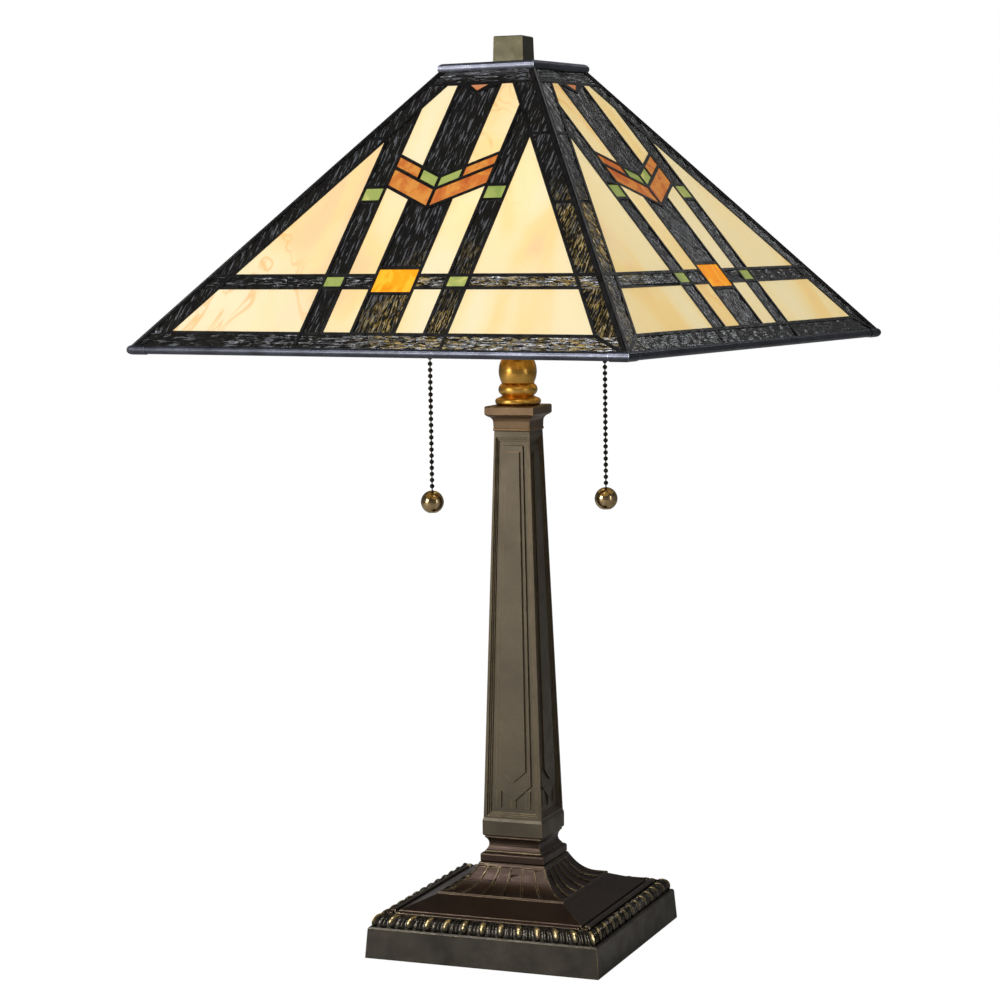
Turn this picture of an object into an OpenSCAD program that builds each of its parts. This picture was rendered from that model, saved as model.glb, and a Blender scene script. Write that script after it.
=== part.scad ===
// Two-light table lamp with a square pyramid shade of leaded art glass on a tapered cast column.
// Millimetres, +Z up, origin at the centre of the base's footprint, the front of the base along -Y.

/* [Shade] */
// Width across the shade's rim
shade_w = 409; // [380:1:420]
// Width across the shade's top opening
shade_top_w = 69; // [66:1:76]
// Height of the shade, rim to top ring
shade_h = 203; // [195:1:210]
// Height of the rim above the table
rim_z = 453; // [448:1:458]
// Turn of the shade from the base, about the riser
shade_turn = -9.5; // [-45:0.5:45]
// Thickness of the glass
glass_t = 2.6; // [2.2:0.1:3]
// Width of a soldered lead line
lead_w = 2.4; // [2.2:0.1:3.2]

/* [Base and column] */
// Width across the foot of the plinth
base_w = 184; // [176:1:200]
// Height of the plinth
plinth_h = 24; // [22:1:25]
// Width across the column's block, at its foot
column_w = 48; // [44:1:50]
// Width across the top of the column
column_top_w = 28; // [26:1:30]
// Width across the capital
capital_w = 39; // [37:1:42]

/* [Lights] */
// Turn of the pair of pull chains from the base; the sockets stand across them
cluster_turn = 25; // [0:1:45]
// Greatest diameter of a bulb
bulb_d = 48; // [40:1:50]
// Distance of each pull chain from the lamp's axis
chain_r = 65; // [64:0.5:66]
// Diameter of a chain bead
bead_d = 3.5; // [3:0.1:3.6]
// Distance from bead to bead
bead_pitch = 4.55; // [4.5:0.05:4.8]
// Number of beads below the chain's upper swivel
chain_beads = 21; // [14:1:22]
// Diameter of a pull ball
ball_d = 17.2; // [12:0.2:18]

/* [Finial] */
// Width of the square finial
finial_w = 23.5; // [18:0.5:26]
// Height of the finial
finial_h = 21.5; // [16:0.5:26]

/* [Hidden] */
$fn = 96;
SIDES = ["front", "right", "back", "left"];
HANDS = ["left", "right"];
ENDS = ["front", "back"];

clear = 0.05;            // radial clearance of a thread or a running fit
far = 400;               // longer than anything that it cuts

// Stack of the base, column and neck, as heights above the table
felt_t = 1.6;
plate_t = 1.2;
plinth_foot_z = 0.6;
weight_z = 13;
weight_top_z = 22;
border_top_z = 34.3;
panel_z = 34;            // foot of the sloping panel above the border
flute_z = 43;            // lower ends of the flutes
dome_top_z = 63.7;
foot_plate_h = 6.6;
block_z = 83.4;
block_h = 12.8;
column_top_z = 388;
capital_top_z = 406.7;
neck_top_z = 447;

// Base outline, as half widths
base_half = base_w / 2;
plinth_top_half = base_half - 2;
border_half = plinth_top_half - 1.4;
border_in_half = border_half - 9.6;
panel_half = border_in_half - 7;
flute_half = 50;
dome_top_half = 26;
flute_depth = 1.1;
flutes = 6;              // flutes on each side of the dome
border_beads = 12;       // spaces between beads along one side
plinth_wall = 4.6;
bushing_z = 9;
bushing_r = 5.8;
cord_r = 3.6;            // bore of the cord bushing

// Pipe and riser
pipe_r = 4.8;
pipe_bore_r = 3.5;
pipe_z = 3.2;
pipe_top_z = 458;
riser_z = 462;
riser_shoulder_z = 648;
stud_r = 3.1;
stud_top_z = 662;

// Sockets, in a frame whose Z is the socket's axis and whose X points outwards and down
arm_z = 446;             // height at which the two sockets' axes cross
arm_tilt = 45;
arm_r = 5.5;
cap_start = 32;
shell_start = 46;
shell_end = 82;
shell_r = 16.4;
bulb_r = bulb_d / 2;
bulb_at = 118;

// Pull chains, each hanging from a switch at the end of a level arm
bell_z = 446.5;          // mouth of the switch's bell
switch_z = 456;
switch_top_z = 478;
switch_r = 10;
switch_arm_z = 463;
switch_arm_r = 4;
guide_bore_r = 2.6;
link_z = 447.35;         // lowest bead of the pull link, the swing's pivot
ball_r = ball_d / 2;
bead_r = bead_d / 2;
wire_r = 0.5;
swivel_z = link_z - bead_pitch;
chain_end_z = swivel_z - chain_beads * bead_pitch;
ball_z = chain_end_z - 3.2 - ball_r;

// Shade
shade_half = shade_w / 2;
top_half = shade_top_w / 2;
slope = atan2(shade_h, shade_half - top_half);
face_len = norm([shade_h, shade_half - top_half]);
taper = (shade_half - top_half) / face_len;   // how fast a face narrows on each side
came_t = glass_t + 1;                         // the solder stands half a millimetre proud on each side
hip_inset = came_t * 0.78;                    // room for the solder along each hip
rim_r = 3;
rim_v = 3.6;             // centre of the rim's bar, up the slope and in from the outer surface
rim_depth = came_t / 2 + 0.6;
knuckle = 12;            // length of the sleeve at each end of a rim bar
ring_r = 3.6;
ring_v = face_len - 4.4;
ring_depth = 0.3;

// Finial
cap_plate_z = 652;
cap_plate_t = 1.5;
insert_r = 5;
insert_flange_t = 1;
finial_z = cap_plate_z + cap_plate_t + insert_flange_t + 0.04;

// Glass pattern of one face: u runs across from the centre line and v up the slope from the rim
v_foot = 4.5;            // foot of the panel, in the rim channel
v_border = 18;           // top of the bottom border
v_low = 58;              // cross band
v_band = 69;
v_amber = [53, 75.5];
v_square = [135.5, 149];
v_hip_joints = [v_band, 132, 195];
v_top = 244.8;           // foot of the top border
v_head = face_len - 5;   // head of the panel, under the top ring
u_core = 17.4;           // half width of the dark centre band
u_strip = 42;            // outer edge of the light strips
u_stave = 59.3;          // outer edge of the dark staves
hip_w = 19.4;            // width of the hip strips, across the face
chevron_slope = 0.5;
v_chevron = [129, 146.3, 157.5];   // centre points of the chevron's three lines
notch_v = 236;           // point of the dark centre band's notch
gem_u = 11.4;            // half width of the small triangle in the notch

function unit(v) = v / norm(v);
function inward(a, b) = let (d = unit(b - a)) [-d.y, d.x];
// A loop of points, given anticlockwise, with every edge moved in by gap
function inset(loop, gap) = [
    for (i = [0 : len(loop) - 1])
        let (last = loop[(i + len(loop) - 1) % len(loop)], next = loop[(i + 1) % len(loop)],
             n1 = inward(last, loop[i]), n2 = inward(loop[i], next))
        loop[i] + gap * (n1 + n2) / (1 + n1 * n2)];
function arc(centre, r, from, to, steps = 8) = [
    for (i = [0 : steps]) let (a = from + (to - from) * i / steps) centre + r * [cos(a), sin(a)]];
function edge_u(v) = shade_half - taper * v - hip_inset;
function hip_u(v) = shade_half - hip_w - taper * v;
function hip_v(u) = (shade_half - hip_w - u) / taper;
function chevron_v(line, u) = v_chevron[line] + chevron_slope * u;
function box_cell(u, v) = [[u[0], v[0]], [u[1], v[0]], [u[1], v[1]], [u[0], v[1]]];
// A piece of the hip strip, between the panel's edge and the strip's inner line
function hip_cell(v) = [[hip_u(v[0]), v[0]], [edge_u(v[0]), v[0]], [edge_u(v[1]), v[1]], [hip_u(v[1]), v[1]]];

panel = [[-edge_u(v_foot), v_foot], [edge_u(v_foot), v_foot], [edge_u(v_head), v_head],
         [-edge_u(v_head), v_head]];

// Cells that lie on the centre line
dark_centre = [
    box_cell([-u_stave, u_stave], [v_foot, v_border]),
    box_cell([-u_core, u_core], [v_border, v_amber[0]]),
    [[-u_core, v_amber[1]], [u_core, v_amber[1]], [u_core, chevron_v(0, u_core)], [0, v_chevron[0]],
     [-u_core, chevron_v(0, u_core)]],
    [[0, v_chevron[2]], [u_core, chevron_v(2, u_core)], [u_core, v_top], [0, notch_v], [-u_core, v_top],
     [-u_core, chevron_v(2, u_core)]],
    [[-edge_u(v_top), v_top], [edge_u(v_top), v_top], [edge_u(v_head), v_head], [-edge_u(v_head), v_head]]];
amber_centre = [box_cell([-u_core, u_core], v_amber)];
gem_centre = [[[0, notch_v], [gem_u, v_top], [-gem_u, v_top]]];

// Cells of the right half, which the left half mirrors
dark_half = concat(
    [[[u_stave, v_foot], [edge_u(v_foot), v_foot], [hip_u(v_border), v_border], [u_stave, v_border]],
     [[hip_u(v_border), v_border], [edge_u(v_foot), v_foot], [edge_u(v_band), v_band], [hip_u(v_band), v_band]],
     [[u_stave, v_low], [hip_u(v_low), v_low], [hip_u(v_band), v_band], [u_stave, v_band]],
     box_cell([u_core, u_strip], [v_low, v_band]),
     box_cell([u_strip, u_stave], [v_border, v_low]),
     box_cell([u_strip, u_stave], [v_band, v_square[0]]),
     [[u_strip, v_square[1]], [u_stave, v_square[1]], [u_stave, hip_v(u_stave)], [u_strip, hip_v(u_strip)]]],
    [for (i = [0 : 2]) hip_cell([v_hip_joints[i], i < 2 ? v_hip_joints[i + 1] : v_top])]);
cream_half = [
    [[u_stave, v_border], [hip_u(v_border), v_border], [hip_u(v_low), v_low], [u_stave, v_low]],
    box_cell([u_core, u_strip], [v_border, v_low]),
    [[u_stave, v_band], [hip_u(v_band), v_band], [u_stave, hip_v(u_stave)]],
    [[u_core, v_band], [u_strip, v_band], [u_strip, chevron_v(0, u_strip)], [u_core, chevron_v(0, u_core)]],
    [[u_core, chevron_v(2, u_core)], [u_strip, chevron_v(2, u_strip)], [u_strip, hip_v(u_strip)],
     [hip_u(v_top), v_top], [u_core, v_top]]];
green_half = [
    box_cell([u_strip, u_stave], [v_low, v_band]),
    box_cell([u_strip, u_stave], v_square),
    [[0, v_chevron[1]], [u_core, chevron_v(1, u_core)], [u_core, chevron_v(2, u_core)], [0, v_chevron[2]]]];
orange_half = [
    [[0, v_chevron[0]], [u_strip, chevron_v(0, u_strip)], [u_strip, chevron_v(1, u_strip)], [0, v_chevron[1]]],
    [[u_core, chevron_v(1, u_core)], [u_strip, chevron_v(1, u_strip)], [u_strip, chevron_v(2, u_strip)],
     [u_core, chevron_v(2, u_core)]]];

// A square solid whose half width follows [half width, height] points, from its foot to its head
module square_turning(profile) {
    outline = concat(profile, [for (i = [len(profile) - 1 : -1 : 0]) [-profile[i][0], profile[i][1]]]);
    intersection() {
        rotate([90, 0, 0]) linear_extrude(2 * far, center = true) polygon(outline);
        rotate([90, 0, 90]) linear_extrude(2 * far, center = true) polygon(outline);
    }
}

// Four copies of a bar along the front, mitred where they meet
module mitred_frame() {
    for (side = [0 : 3])
        rotate([0, 0, 90 * side]) intersection() {
            children();
            translate([0, 0, -far / 2]) linear_extrude(3 * far) polygon([[0, 0], [-far, -far], [far, -far]]);
        }
}

// A round solid from [radius, height] points, with a bore of radius bore
module turning(profile, bore = 0) {
    rotate_extrude() polygon(concat([[bore, profile[0].y]], profile, [[bore, profile[len(profile) - 1].y]]));
}

// ---- base ----
module felt_pad() {
    color("darkgreen") translate([-base_half + plinth_wall + 0.4, -base_half + plinth_wall + 0.4, 0])
        cube([base_w - 2 * plinth_wall - 0.8, base_w - 2 * plinth_wall - 0.8, felt_t]);
}

module bottom_plate() {
    half = base_half - plinth_wall - 0.6;
    color("silver") translate([-half, -half, felt_t]) cube([2 * half, 2 * half, plate_t]);
}

module base_weight() {
    half = base_half - 18;
    color("dimgray") difference() {
        translate([-half, -half, weight_z]) cube([2 * half, 2 * half, weight_top_z - weight_z]);
        translate([0, 0, weight_z - 1]) cylinder(r = pipe_r + 0.4, h = 20);
    }
}

// The dome rises from a small lip around the flutes' ends, gently and then steeply, to the foot plate
dome_lip_z = flute_z + 1.6;
dome_steps = 14;
dome_profile = concat(
    [[panel_half, panel_z], [flute_half, flute_z], [flute_half - 0.2, dome_lip_z - 0.3]],
    [for (k = [0 : dome_steps]) let (u = k / dome_steps)
        [flute_half - 0.6 + (dome_top_half - flute_half + 0.6) * u,
         dome_lip_z + (dome_top_z - dome_lip_z) * (0.25 * u + 0.75 * pow(u, 3))]]);

module flute_cutters() {
    width = 2 / flutes;
    intersection() {
        difference() {
            square_turning(dome_profile);
            translate([0, 0, -flute_depth]) square_turning(dome_profile);
        }
        for (side = [0 : 3], k = [0 : flutes - 1])
            rotate([0, 0, 90 * side]) let (from = -1 + (k + 0.07) * width, to = -1 + (k + 0.93) * width)
                translate([0, 0, panel_z]) linear_extrude(40)
                    polygon([for (p = [[from, dome_top_half + 1.2], [from, flute_half - 1.5],
                                       [to, flute_half - 1.5], [to, dome_top_half + 1.2]])
                             [p[0] * p[1], -p[1]]]);
    }
}

module base_casting() {
    color("#3a3226") difference() {
        square_turning(concat(
            [[base_half, plinth_foot_z], [base_half, plinth_foot_z + 0.8], [plinth_top_half + 0.3, plinth_h - 1.2],
             [plinth_top_half - 0.7, plinth_h], [border_in_half, plinth_h],
             [border_in_half, border_top_z - 1], [border_in_half - 1.4, border_top_z],
             [panel_half + 3.4, border_top_z], [panel_half + 2.6, panel_z - 2], [panel_half + 0.8, panel_z - 2]],
            dome_profile));
        flute_cutters();
        square_turning([[base_half - plinth_wall, -1], [base_half - plinth_wall, weight_top_z],
                        [border_in_half - 6, weight_top_z], [border_in_half - 8, 27], [38, 39], [28, 46.5],
                        [21, 55], [20, 60], [9, 60]]);
        cylinder(r = pipe_r + 0.4, h = far);
        translate([0, base_half, bushing_z]) rotate([90, 0, 0]) cylinder(r = bushing_r, h = 20, center = true);
    }
}

module border_moulding() {
    quarter_r = border_half - border_in_half - 0.6;
    pitch = 2 * (border_half - 5) / border_beads;
    color("#4a4030") union() {
        mitred_frame()
            rotate([90, 0, 90]) linear_extrude(2 * border_half, center = true)
                polygon(concat([[-border_in_half, border_top_z - 1.2], [-border_in_half, plinth_h],
                                [-border_half, plinth_h], [-border_half, plinth_h + 1]],
                               arc([-border_in_half - 0.6, plinth_h + 0.6], quarter_r - 1.2, 176, 92, 6)));
        for (side = [0 : 3], k = [0 : border_beads - 1])
            rotate([0, 0, 90 * side])
                translate([-border_half + 5 + k * pitch, -border_half + 5, plinth_h + 5]) sphere(r = 3.4);
    }
}

module cord_bushing() {
    color("black") translate([0, base_half, bushing_z]) rotate([90, 0, 0]) difference() {
        union() {
            translate([0, 0, -2.4]) cylinder(r = bushing_r + 1.4, h = 2.4);
            translate([0, 0, -1]) cylinder(r = bushing_r - clear, h = 9);
        }
        translate([0, 0, -5]) cylinder(r = cord_r, h = 20);
    }
}

module hex_nut(across, height, bore) {
    difference() {
        cylinder(r = across / sqrt(3), h = height, $fn = 6);
        translate([0, 0, -1]) cylinder(r = bore, h = height + 2);
    }
}

module base_washer() {
    color("silver") translate([0, 0, weight_z - 1.6]) difference() {
        cylinder(r = 13, h = 1.6);
        translate([0, 0, -1]) cylinder(r = pipe_r + 0.3, h = 4);
    }
}

module base_nut() {
    color("goldenrod") translate([0, 0, weight_z - 1.6 - 4.6]) hex_nut(15, 4.6, pipe_r + clear);
}

module lamp_pipe() {
    color("silver") translate([0, 0, pipe_z]) difference() {
        cylinder(r = pipe_r, h = pipe_top_z - pipe_z);
        translate([0, 0, -1]) cylinder(r = pipe_bore_r, h = far * 2);
    }
}

// ---- column ----
module column_foot() {
    half = column_w / 2;
    plate_half = half + 1.5;
    plate_z = dome_top_z + foot_plate_h;
    color("#3a3226") difference() {
        square_turning(concat(
            [[plate_half - 0.6, dome_top_z], [plate_half, dome_top_z + 0.8], [plate_half, plate_z - 0.8],
             [plate_half - 0.9, plate_z]],
            [[half - 1.6, plate_z + 1]],
            arc([half + 2.9, plate_z + 6.6], 6.6, 233, 127, 8),
            [[half - 1.6, block_z]]));
        translate([0, 0, dome_top_z - 1]) cylinder(r = pipe_r + 1, h = 30);
    }
}

// Half width of the column's faces at a height
function column_half(z) = let (foot = block_z + block_h + 1)
    column_w / 2 - 0.7 + (column_top_w / 2 - column_w / 2 + 0.7) * (z - foot) / (column_top_z - foot);
column_lean = atan((column_w / 2 - 0.7 - column_top_w / 2) / (column_top_z - block_z - block_h - 1));

// Children drawn as (x, height) on each side of the column, raised to level from the face
module on_column_sides(level, depth) {
    for (side = [0 : 3])
        rotate([0, 0, 90 * side]) translate([0, -column_half(block_z), block_z])
            rotate([90 - column_lean, 0, 0]) translate([0, 0, level - depth]) linear_extrude(depth)
                translate([0, -block_z]) children();
}

panel_foot_z = 99;
panel_head_z = 383.5;
recess_steps = [[0.885, 1.1], [0.83, 2.1], [0.775, 3]];   // share of the face's half width, and depth
// A panel that narrows with the column, inset from the recess's foot and head
module recess_outline(share, inset) {
    foot = panel_foot_z + inset;
    head = panel_head_z - inset;
    polygon([for (p = [[-1, foot], [1, foot], [1, head], [-1, head]]) [p[0] * share * column_half(p[1]), p[1]]]);
}
module shield(foot_half, head_half, tip_z, shoulder_z, head_z) {
    polygon([[0, tip_z], [foot_half, shoulder_z], [head_half, head_z], [-head_half, head_z],
             [-foot_half, shoulder_z]]);
}

module column() {
    half = column_w / 2;
    body = [[half - 0.8, block_z], [half, block_z + 1], [half, block_z + block_h - 1.2],
            [half - 0.7, block_z + block_h + 1], [column_top_w / 2, column_top_z]];
    color("#3f382b") union() {
        difference() {
            square_turning(body);
            for (i = [0 : 2])
                on_column_sides(1, 1 + recess_steps[i][1]) recess_outline(recess_steps[i][0], 1.3 * i);
            square_turning([[half - 5.4, block_z - 1], [half - 5.4, block_z + 15],
                            [column_top_w / 2 - 5.4, column_top_z - 4]]);
            cylinder(r = pipe_r + 0.4, h = far);
        }
        on_column_sides(-1.7, 1.4) shield(14.2, 8, 110, 122.5, 377.4);
        on_column_sides(-0.3, 1.5) shield(10.4, 5.6, 124.8, 134, 372.9);
        on_column_sides(-2, 1.1) for (x = [-11.6, 0, 11.6])
            polygon([[x - 2, 105.5], [x + 2, 105.5], [x + 2, x == 0 ? 112 : 119], [x - 2, x == 0 ? 112 : 119]]);
    }
}

module capital() {
    half = capital_w / 2;
    neck = column_top_w / 2;
    z = column_top_z;
    color("#4a3d2b") difference() {
        square_turning(concat(
            [[neck, z], [neck + 0.8, z + 0.4], [neck + 0.8, z + 1.6], [neck + 0.4, z + 2.2]],
            arc([half - 0.3, z + 6.6], 4.6, 180, 110, 8),
            [[half - 0.9, z + 11.6], [half, z + 12.6], [half, capital_top_z - 0.9], [half - 0.6, capital_top_z]]));
        cylinder(r = pipe_r + 0.4, h = 2 * far);
    }
}

module turned_neck() {
    z = capital_top_z;
    color("#8a6a2c") turning(concat(
        [[14.3, z]],
        arc([14.3, z + 2.8], 2.8, -80, 80, 8),
        [[14.4, z + 5.7], [13.2, z + 6.2]],
        arc([9.8, z + 11.7], 4.8, -68, 68, 10),
        [[12.6, z + 16.4], [12.2, z + 16.9]],
        arc([-3.8, z + 25.2], 18, -27, 40, 12),
        [[9, neck_top_z - 1.4], [9, neck_top_z]]), pipe_r + 0.4);
}

// ---- lights ----
module at_chain(hand) {
    rotate([0, 0, cluster_turn + (hand == "left" ? 180 : 0)]) translate([chain_r, 0, 0]) children();
}
module at_socket(end) {
    rotate([0, 0, cluster_turn - 90 + (end == "back" ? 180 : 0)]) translate([0, 0, arm_z])
        rotate([0, arm_tilt, 0]) children();
}
// A level bar from the hub's side out to a switch
module switch_arm(hand, r, from, to) {
    at_chain(hand) translate([from - chain_r, 0, switch_arm_z]) rotate([0, 90, 0]) cylinder(r = r, h = to - from);
}

hub_outer = [[10, neck_top_z], [12, neck_top_z + 1.5], [20, 454], [21.5, 457], [21.5, 466], [19, 470.5], [11, 474],
             [8, 474.5]];
hub_inner = [[9, neck_top_z + 2], [10.5, neck_top_z + 3.5], [18.4, 456], [19.5, 458], [19.5, 465], [17.4, 468.8],
             [10, 472], [7.5, 472.3]];

module cluster_hub() {
    color("#8a6a2c") difference() {
        turning(hub_outer);
        turning(hub_inner);
        translate([0, 0, arm_z]) cylinder(r = pipe_r + clear, h = 40);
        for (end = ENDS) at_socket(end) cylinder(r = arm_r + clear, h = 60);
        for (hand = HANDS) switch_arm(hand, switch_arm_r + clear, 10, 40);
    }
}

module cluster_arms() {
    color("goldenrod") {
        for (end = ENDS) at_socket(end) translate([0, 0, 25]) difference() {
            cylinder(r = arm_r, h = 13);
            translate([0, 0, -1]) cylinder(r = 3.6, h = 20);
        }
        for (hand = HANDS) difference() {
            switch_arm(hand, switch_arm_r, 17.5, chain_r - switch_r + 0.8);
            switch_arm(hand, 2.5, 10, chain_r);
        }
    }
}

module socket_cap(end) {
    color("#8a6a2c") at_socket(end) rotate_extrude()
        polygon([[arm_r + clear, cap_start], [9, cap_start], [12.6, cap_start + 2.4], [15.3, cap_start + 7],
                 [shell_r, cap_start + 12], [shell_r, shell_start], [shell_r - 1, shell_start],
                 [shell_r - 1, cap_start + 12.2], [14.2, cap_start + 7.6], [11.8, cap_start + 3.6],
                 [8.6, cap_start + 1.2], [arm_r + clear, cap_start + 1.2]]);
}

module socket_shell(end) {
    bump = 0.7;
    color("#8a6a2c") at_socket(end) difference() {
        turning([[shell_r, shell_start], [shell_r, shell_start + 8], [shell_r + bump, shell_start + 9],
                 [shell_r, shell_start + 10], [shell_r, shell_end - 6], [shell_r + bump, shell_end - 5],
                 [shell_r, shell_end - 4], [shell_r, shell_end - 1.4], [shell_r + 0.8, shell_end - 0.7],
                 [shell_r + 0.4, shell_end]]);
        translate([0, 0, shell_start - 1]) cylinder(r = shell_r - 0.8, h = 50);
    }
}

module switch_blocks() {
    color("dimgray") for (hand = HANDS) at_chain(hand) difference() {
        translate([0, 0, switch_z + 2]) cylinder(r = switch_r - 1.3, h = switch_top_z - switch_z - 6);
        translate([0, 0, switch_z]) cylinder(r = guide_bore_r, h = 12);
        translate([1 - switch_r, 0, switch_arm_z]) rotate([0, 90, 0])
            cylinder(r = switch_arm_r + 0.4, h = 3, center = true);
    }
}

module socket_liners() {
    color("tan") for (end = ENDS) at_socket(end) difference() {
        translate([0, 0, shell_start + 0.5]) cylinder(r = shell_r - 0.9, h = shell_end - shell_start + 1.5);
        translate([0, 0, shell_start + 1.3]) cylinder(r = shell_r - 1.7, h = 60);
        translate([0, 0, shell_start]) cylinder(r = 4, h = 10);
    }
}

module screw_shells() {
    color("silver") for (end = ENDS) at_socket(end) translate([0, 0, 53.2]) difference() {
        cylinder(r = 14, h = 26);
        translate([0, 0, 1]) cylinder(r = 13.5, h = 40);
    }
}

module bulb_cap(end) {
    color("silver") at_socket(end)
        turning([[4, 55.4], [5, 56.6], [12, 60], [13.1, 61], [13.1, 79.5], [12.7, 80.4], [12.7, shell_end]]);
}

module bulb_glass(end) {
    wall = 1;
    foot = shell_end;
    outer = concat([[12.6, foot], [13.2, foot + 6], [15.4, foot + 13], [19.2, foot + 20]],
                   arc([0, bulb_at], bulb_r, -27, 88, 16));
    inner = concat(arc([0, bulb_at], bulb_r - wall, 88, -27, 16),
                   [[18.2, foot + 20.4], [14.4, foot + 13.2], [12.2, foot + 6], [11.6, foot]]);
    color("ivory") at_socket(end)
        rotate_extrude() polygon(concat(outer, [[0, bulb_at + bulb_r], [0, bulb_at + bulb_r - wall]], inner));
}

module switch_shell(hand) {
    top = switch_top_z;
    wall = 0.9;
    color("#8a6a2c") at_chain(hand) difference() {
        rotate_extrude() polygon(concat(
            [[6.2, bell_z], [5.2, bell_z + 1.6], [4.2, bell_z + 4], [4.2, switch_z - 2.4], [7.4, switch_z - 1.2],
             [switch_r, switch_z + 1.4]],
            arc([switch_r - 5, top - 5], 5, 0, 86, 6), [[0, top], [0, top - wall]],
            arc([switch_r - 5, top - 5], 5 - wall, 86, 0, 6),
            [[switch_r - wall, switch_z + 1.6], [7, switch_z - 0.3], [guide_bore_r, switch_z - 0.9],
             [guide_bore_r, bell_z + 4.2], [5.3, bell_z]]));
        translate([-switch_r, 0, switch_arm_z]) rotate([0, 90, 0])
            cylinder(r = switch_arm_r + clear, h = 6, center = true);
    }
}

// Beads on a wire, down from the height top_z; the wire runs past the end beads by over and under
module bead_chain(top_z, beads, over, under) {
    union() {
        for (k = [0 : beads - 1]) translate([0, 0, top_z - k * bead_pitch]) sphere(r = bead_r);
        translate([0, 0, top_z - (beads - 1) * bead_pitch - under])
            cylinder(r = wire_r, h = (beads - 1) * bead_pitch + over + under);
    }
}

pivot_gap = bead_r + 0.15;   // a wire stops here, short of the bead that it swivels about
module pull_link(hand) {
    color("#2e2a24") at_chain(hand) bead_chain(link_z + bead_pitch, 2, 0, 0);
}
module chain_swivel(hand) {
    color("#2e2a24") at_chain(hand)
        bead_chain(swivel_z, 1, bead_pitch - pivot_gap, 0);
}
module chain(hand) {
    color("#2e2a24") at_chain(hand)
        bead_chain(swivel_z - bead_pitch, chain_beads, bead_pitch - pivot_gap, bead_r + 1.6);
}
module pull_ball(hand) {
    top = ball_z + ball_r;
    color("#9a8560") at_chain(hand) difference() {
        intersection() {
            translate([0, 0, ball_z]) sphere(r = ball_r);
            translate([0, 0, ball_z - ball_r + 0.6]) cylinder(r = far, h = ball_d);
        }
        translate([0, 0, top - 5]) cylinder(r = wire_r + 0.4, h = 10);
    }
}

// ---- riser ----
module riser_tube() {
    color("silver") difference() {
        union() {
            translate([0, 0, riser_z]) cylinder(r = pipe_r, h = riser_shoulder_z - riser_z);
            translate([0, 0, riser_shoulder_z - 8]) cylinder(r = stud_r, h = stud_top_z - riser_shoulder_z + 8);
        }
        translate([0, 0, riser_z - 1]) cylinder(r = pipe_bore_r - 1, h = 170);
    }
}

module lock_nut() {
    color("goldenrod") translate([0, 0, riser_shoulder_z - 9]) hex_nut(15, 5, pipe_r + clear);
}

module shade_rest() {
    top = cap_plate_z - 0.1;
    color("goldenrod") difference() {
        union() {
            translate([0, 0, top - 2]) cylinder(r = 18, h = 2);
            translate([0, 0, riser_shoulder_z - 4]) cylinder(r = 8, h = top - riser_shoulder_z + 3);
        }
        translate([0, 0, top - 10]) cylinder(r = stud_r + clear, h = 20);
        translate([0, 0, riser_shoulder_z - 5]) cylinder(r = pipe_r + clear, h = 5);
    }
}

// ---- shade ----
// Draws on one face, with X across, Y up the slope and Z outwards from its outer surface
module on_face(side) {
    rotate([0, 0, shade_turn + 90 * side]) translate([0, -shade_half, rim_z]) rotate([slope, 0, 0]) children();
}
module panel_slab() {
    translate([0, 0, -came_t]) linear_extrude(came_t) polygon(panel);
}
// The glass of a list of cells: the centre ones once, and the half ones on both sides
module glass(centre, half) {
    for (cell = centre) piece(cell);
    for (way = [0, 1], cell = half) mirror([way, 0, 0]) piece(cell);
}
module piece(cell) {
    translate([0, 0, -came_t / 2 - glass_t / 2]) linear_extrude(glass_t) polygon(inset(cell, lead_w / 2 + clear));
}
module windows(centre, half) {
    for (cell = centre) polygon(inset(cell, lead_w / 2));
    for (way = [0, 1], cell = half) mirror([way, 0]) polygon(inset(cell, lead_w / 2));
}

module came(side) {
    color("#23211f") on_face(side) translate([0, 0, -came_t]) linear_extrude(came_t) difference() {
        polygon(panel);
        windows(concat(dark_centre, amber_centre, gem_centre),
                concat(dark_half, cream_half, green_half, orange_half));
    }
}
module cream_glass(side) { color("#f3e3b4") on_face(side) glass([], cream_half); }
module dark_glass(side) { color("#15130f") on_face(side) glass(dark_centre, dark_half); }
module green_glass() { color("#8fb860") for (side = [0 : 3]) on_face(side) glass([], green_half); }
module orange_glass() { color("#e2742c") for (side = [0 : 3]) on_face(side) glass(gem_centre, orange_half); }
module amber_glass() { color("#f39a20") for (side = [0 : 3]) on_face(side) glass(amber_centre, []); }

hip_length = norm([shade_half - top_half, shade_half - top_half, shade_h]);
hip_rise = atan2(shade_h, (shade_half - top_half) * sqrt(2));
module hip_solder() {
    bead = 2;
    color("#2b2927") for (side = [0 : 3]) difference() {
        rotate([0, 0, shade_turn + 90 * side]) translate([shade_half, -shade_half, rim_z])
            rotate([0, 0, 135]) rotate([0, 90 - hip_rise, 0]) translate([1.5, 0, 5.8])
                cylinder(r = bead, h = hip_length - 12.8);
        on_face(side) panel_slab();
        on_face(side + 1) panel_slab();
    }
}

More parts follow.
